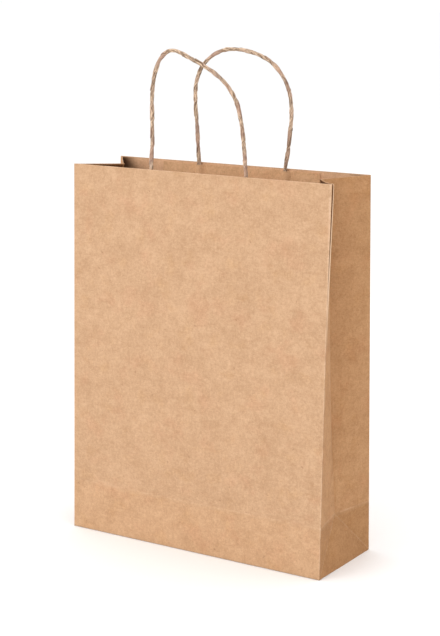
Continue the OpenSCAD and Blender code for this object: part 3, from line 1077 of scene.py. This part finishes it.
def grooved_ring(tree, radius):
    """The cord's outline, an oval with two grooves, and each point's place on it."""
    sockets = {"Resolution": CORD_SIDES, "Radius": radius}
    ring = tree.add("GeometryNodeCurvePrimitiveCircle", {}, sockets)
    spot = tree.add("GeometryNodeInputPosition")
    angle = tree.angle_of(spot)
    groove = tree.near(angle, GROOVE_ANGLE, 0.55)
    second = tree.near(angle, SECOND_ANGLE, 0.38)
    oval = tree.add("ShaderNodeMath", {"operation": "COSINE"}, {0: angle * 2.0 + 0.8})
    shape = 0.99 + oval * 0.13 - groove * 0.46 - second * 0.26
    shaped = tree.add("ShaderNodeVectorMath", {"operation": "SCALE"}, {0: spot, "Scale": shape})
    ring = tree.add("GeometryNodeSetPosition", {}, {"Geometry": ring, "Position": shaped})
    placed = tree.add("GeometryNodeInputPosition")
    return tree.add(
        "GeometryNodeCaptureAttribute", {"captured": ("VECTOR", "Round")}, {0: ring, 1: placed}, (0, 1))


def cord_tree(material):
    """The node group that turns a line of points into a twisted cord."""
    group = bpy.data.node_groups.new("twisted_paper_cord", "GeometryNodeTree")
    face = group.interface
    face.new_socket("Line", in_out="INPUT", socket_type="NodeSocketGeometry")
    for name, value in cord_sizes.items():
        face.new_socket(name, in_out="INPUT", socket_type="NodeSocketFloat").default_value = value
    face.new_socket("Cord", in_out="OUTPUT", socket_type="NodeSocketGeometry")

    tree = Tree(group)
    names = ("Line",) + tuple(cord_sizes)
    given = dict(zip(names, tree.add("NodeGroupInput", output=names)))
    curve, run, thickness = twisted_line(tree, given)
    ring, place = grooved_ring(tree, given["Radius"])
    sockets = {"Curve": curve, "Profile Curve": ring, "Scale": thickness, "Fill Caps": True}
    cord = tree.add("GeometryNodeCurveToMesh", {}, sockets)
    straight = tree.add("ShaderNodeCombineXYZ", {}, {2: run}) + place
    settings = {"data_type": "FLOAT_VECTOR", "domain": "POINT"}
    sockets = {"Geometry": cord, "Name": "straightened", "Value": straight}
    cord = tree.add("GeometryNodeStoreNamedAttribute", settings, sockets)
    cord = tree.add("GeometryNodeRealizeInstances", {}, {0: cord})
    cord = tree.add("GeometryNodeSetMaterial", {}, {"Geometry": cord, "Material": material})
    tree.add("NodeGroupOutput", {}, {0: cord}, ())
    return group


print("a cord's outline has", CORD_SIDES, "points")

# %% [markdown]
# ## Cord paper
# The cord is the same brown paper, but twisted it looks different: the strip's edge is pale where it is
# rubbed, the groove and the shallow crease are darkened with painted shade, and streaks run along the
# strip and so wind round the cord. Some stretches are greyer and some more orange, as the strip shows one
# side or the other.
# %% Cord material
CORD_DEEP = (0.16, 0.095, 0.058, 1)
CORD_LIGHT = (0.75, 0.545, 0.385, 1)
CORD_GREY = (0.27, 0.215, 0.17, 1)
CORD_MAUVE = (0.34, 0.19, 0.145, 1)
CORD_WARM = (0.46, 0.235, 0.10, 1)
CORD_EDGE = (0.74, 0.57, 0.38, 1)
# The next two colours are painted shade for the cord's two grooves.
CORD_GROOVE_SHADE = (0.16, 0.095, 0.05, 1)
CORD_SECOND_GROOVE_SHADE = (0.22, 0.13, 0.075, 1)


def cord_paper():
    """The twisted strip's paper. Its pattern lies on the cord as if it were pulled straight."""
    material, tree, shader = new_material("cord_paper")
    straight = tree.add("ShaderNodeAttribute", {"attribute_name": "straightened"}, {}, 1)
    angle = tree.angle_of(straight)
    groove = tree.near(angle, GROOVE_ANGLE, 0.5)
    second = tree.near(angle, SECOND_ANGLE, 0.36)
    edge = tree.near(angle, 0.62, 0.26)

    patches = tree.noise(straight * (0.6, 0.6, 1.0), 70, 3, 0.6)
    streaks = tree.noise(straight * (1.0, 1.0, 0.12), 1500, 3, 0.6)
    grain = tree.noise(straight, 900, 3, 0.6)
    tone = 0.5 + (patches - 0.5) * 1.6 + (streaks - 0.5) * 2.4 + (grain - 0.5) * 0.8
    colour = tree.mixed(tree.step(tone, 0.1, 0.9), CORD_DEEP, CORD_LIGHT)
    grey = tree.step(tree.noise(straight + (0.0, 0.0, 0.7), 48, 2), 0.5, 0.66) * 0.5
    colour = tree.mixed(grey, colour, CORD_GREY)
    mauve = tree.step(tree.noise(straight + (0.0, 0.0, 4.1), 30, 2), 0.46, 0.6) * 0.62
    colour = tree.mixed(mauve, colour, CORD_MAUVE)
    warm = tree.step(tree.noise(straight + (0.0, 0.0, 2.3), 40, 2), 0.54, 0.68) * 0.4
    colour = tree.mixed(warm, colour, CORD_WARM)
    colour = tree.mixed(edge * 0.4, colour, CORD_EDGE)
    # Painted shade in the groove and the shallow crease, on top of the shade their shape casts.
    colour = tree.mixed(groove * 0.8, colour, CORD_GROOVE_SHADE)
    colour = tree.mixed(second * 0.4, colour, CORD_SECOND_GROOVE_SHADE)
    relief = streaks * 0.8 + grain * 0.5
    tree.feed(shader, {
        "Base Color": colour,
        "Roughness": 0.66 + (grain - 0.5) * 0.3,
        "Normal": tree.add("ShaderNodeBump", {}, {"Strength": 0.5, "Distance": 0.2 * MM, "Height": relief}),
        "Specular IOR Level": 0.3,
    })
    return material


cord_brown = cord_paper()
cord_group = cord_tree(cord_brown)
print("cord material:", cord_brown.name)

# %% [markdown]
# ## Handles
# Both ends of a cord are glued under the patch, and the loop between them is stiff enough to stand by
# itself. So one line runs from the lower end of one leg, up past the top edge, round the loop and down to
# the other end.
# %% Cord lines
TAIL = 30 * MM
REST_LEAN = {"front": math.radians(8), "rear": math.radians(3)}
TAIL_START = 0.6 * MM
TAIL_PARTS = 6


def tail_line(leg):
    """A cord's glued end under the patch, from its lower end upwards."""
    line = []
    for share in steps(0, 1, 1 / TAIL_PARTS):
        height = panel_len - TAIL_START - TAIL * (1 - share)
        line.append(front_plate.at(leg * MM, height) - front_plate.out * cord_depth)
    return line


def loop_line(end, route):
    """The whole line of one cord, tail to tail."""
    lean = REST_LEAN[end]
    rise = Vector((0, -math.sin(lean), math.cos(lean)))
    hinge = front_plate.at(0, panel_len) - front_plate.out * cord_depth
    loop = [Vector((x * MM, hinge.y, hinge.z)) + rise * (risen * MM) for x, risen in route]
    points = tail_line(route[0][0]) + loop + tail_line(route[-1][0])[::-1]
    if end == "rear":
        points = [Vector((point.x, -point.y, point.z)) for point in points]
    return points


def rounded_line(points, pitch):
    """The same way round with soft corners: a smooth curve through the points, cut into short steps."""
    line = []
    for k in range(len(points) - 1):
        before = points[max(k - 1, 0)]
        start = points[k]
        stop = points[k + 1]
        after = points[min(k + 2, len(points) - 1)]
        parts = max(1, round((stop - start).length / pitch))
        for i in range(parts):
            t = i / parts
            line.append(0.5 * (
                2 * start + (stop - before) * t
                + (2 * before - 5 * start + 4 * stop - after) * t ** 2
                + (3 * start - before - 3 * stop + after) * t ** 3
            ))
    return line + [points[-1]]


print("a leg is held over", TAIL / MM, "mm")

# %% [markdown]
# ## The two cords
# The line is made a mesh of edges, and the cord tree turns it into a cord. The seed is set by the socket's
# identifier, so each handle gets kinks of its own. The result becomes a plain mesh, with its placement
# baked into its points.
# %% Handles
LINE_PITCH = 2 * MM
CORD_SHARP = math.radians(75)


def twisted_handle(end, route, seed):
    """One cord as a piece."""
    line = rounded_line(loop_line(end, route), LINE_PITCH)
    mesh = bpy.data.meshes.new(f"{end}_handle_line")
    mesh.from_pydata(line, [(i, i + 1) for i in range(len(line) - 1)], [])
    handle = bpy.data.objects.new(f"{end}_handle_cord", mesh)
    scene.collection.objects.link(handle)
    sweep = handle.modifiers.new("cord", "NODES")
    sweep.node_group = cord_group
    for item in cord_group.interface.items_tree:
        if item.name == "Seed" and item.in_out == "INPUT":
            sweep[item.identifier] = seed
    finished(handle, f"{end}_handle_cord", cord_brown)
    handle.data.set_sharp_from_angle(angle=CORD_SHARP)
    length = sum((b - a).length for a, b in zip(line, line[1:]))
    print(f"{end} cord: {length / MM:.0f} mm, {len(handle.data.polygons)} faces")
    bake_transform(handle)
    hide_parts(f"{end}_handle_loop", f"{end}_cord_ends")


twisted_handle("front", front_route, 2.6)
twisted_handle("rear", rear_route, 8.4)

# %% [markdown]
# ## Floor and light
# The bag stands on a plain pale floor in a soft studio: one large lamp at the front left, which lights
# the front wall more than the gusset, a weaker warm one at the right, and an even pale surrounding that
# fills the shadows. The floor is far larger than the view, and lies just under the paper.
# %% Floor and light
FLOOR_SIZE = 14
FLOOR_DROP = 0.1 * MM
floor_material, floor_tree, floor_shader = new_material("studio_floor")
floor_looks = {"Base Color": (0.98, 0.98, 0.98, 1), "Roughness": 0.9, "Specular IOR Level": 0.1}
floor_tree.feed(floor_shader, floor_looks)
corners = [(-1, -1), (1, -1), (1, 1), (-1, 1)]
floor_mesh = bpy.data.meshes.new("studio_floor")
places = [(x * FLOOR_SIZE, y * FLOOR_SIZE, -FLOOR_DROP) for x, y in corners]
floor_mesh.from_pydata(places, [], [(0, 1, 2, 3)])
floor_mesh.materials.append(floor_material)
floor = bpy.data.objects.new("studio_floor", floor_mesh)
scene.collection.objects.link(floor)


LIT_POINT = Vector((0, 0, 0.16))


def soft_lamp(name, where, size, power, colour):
    """A square lamp that faces the middle of the bag."""
    lamp = bpy.data.objects.new(name, bpy.data.lights.new(name, "AREA"))
    lamp.data.size = size
    lamp.data.energy = power
    lamp.data.color = colour
    lamp.location = where
    lamp.rotation_euler = (LIT_POINT - Vector(where)).to_track_quat("-Z", "Y").to_euler()
    scene.collection.objects.link(lamp)


soft_lamp("key_lamp", (-0.9, -2.2, 1.3), 1.6, 22, (1.0, 0.99, 0.97))
soft_lamp("side_lamp", (2.2, -0.5, 1.0), 1.4, 3, (1.0, 0.95, 0.88))
soft_lamp("top_lamp", (0.1, 0.3, 2.4), 1.8, 8, (1.0, 1.0, 1.0))

world = bpy.data.worlds.new("studio")
world.use_nodes = True
background = world.node_tree.nodes["Background"]
background.inputs["Color"].default_value = (1.0, 1.0, 1.0, 1)
background.inputs["Strength"].default_value = 1.03
scene.world = world
scene.view_settings.view_transform = "Standard"
print("three lamps and a pale surrounding")
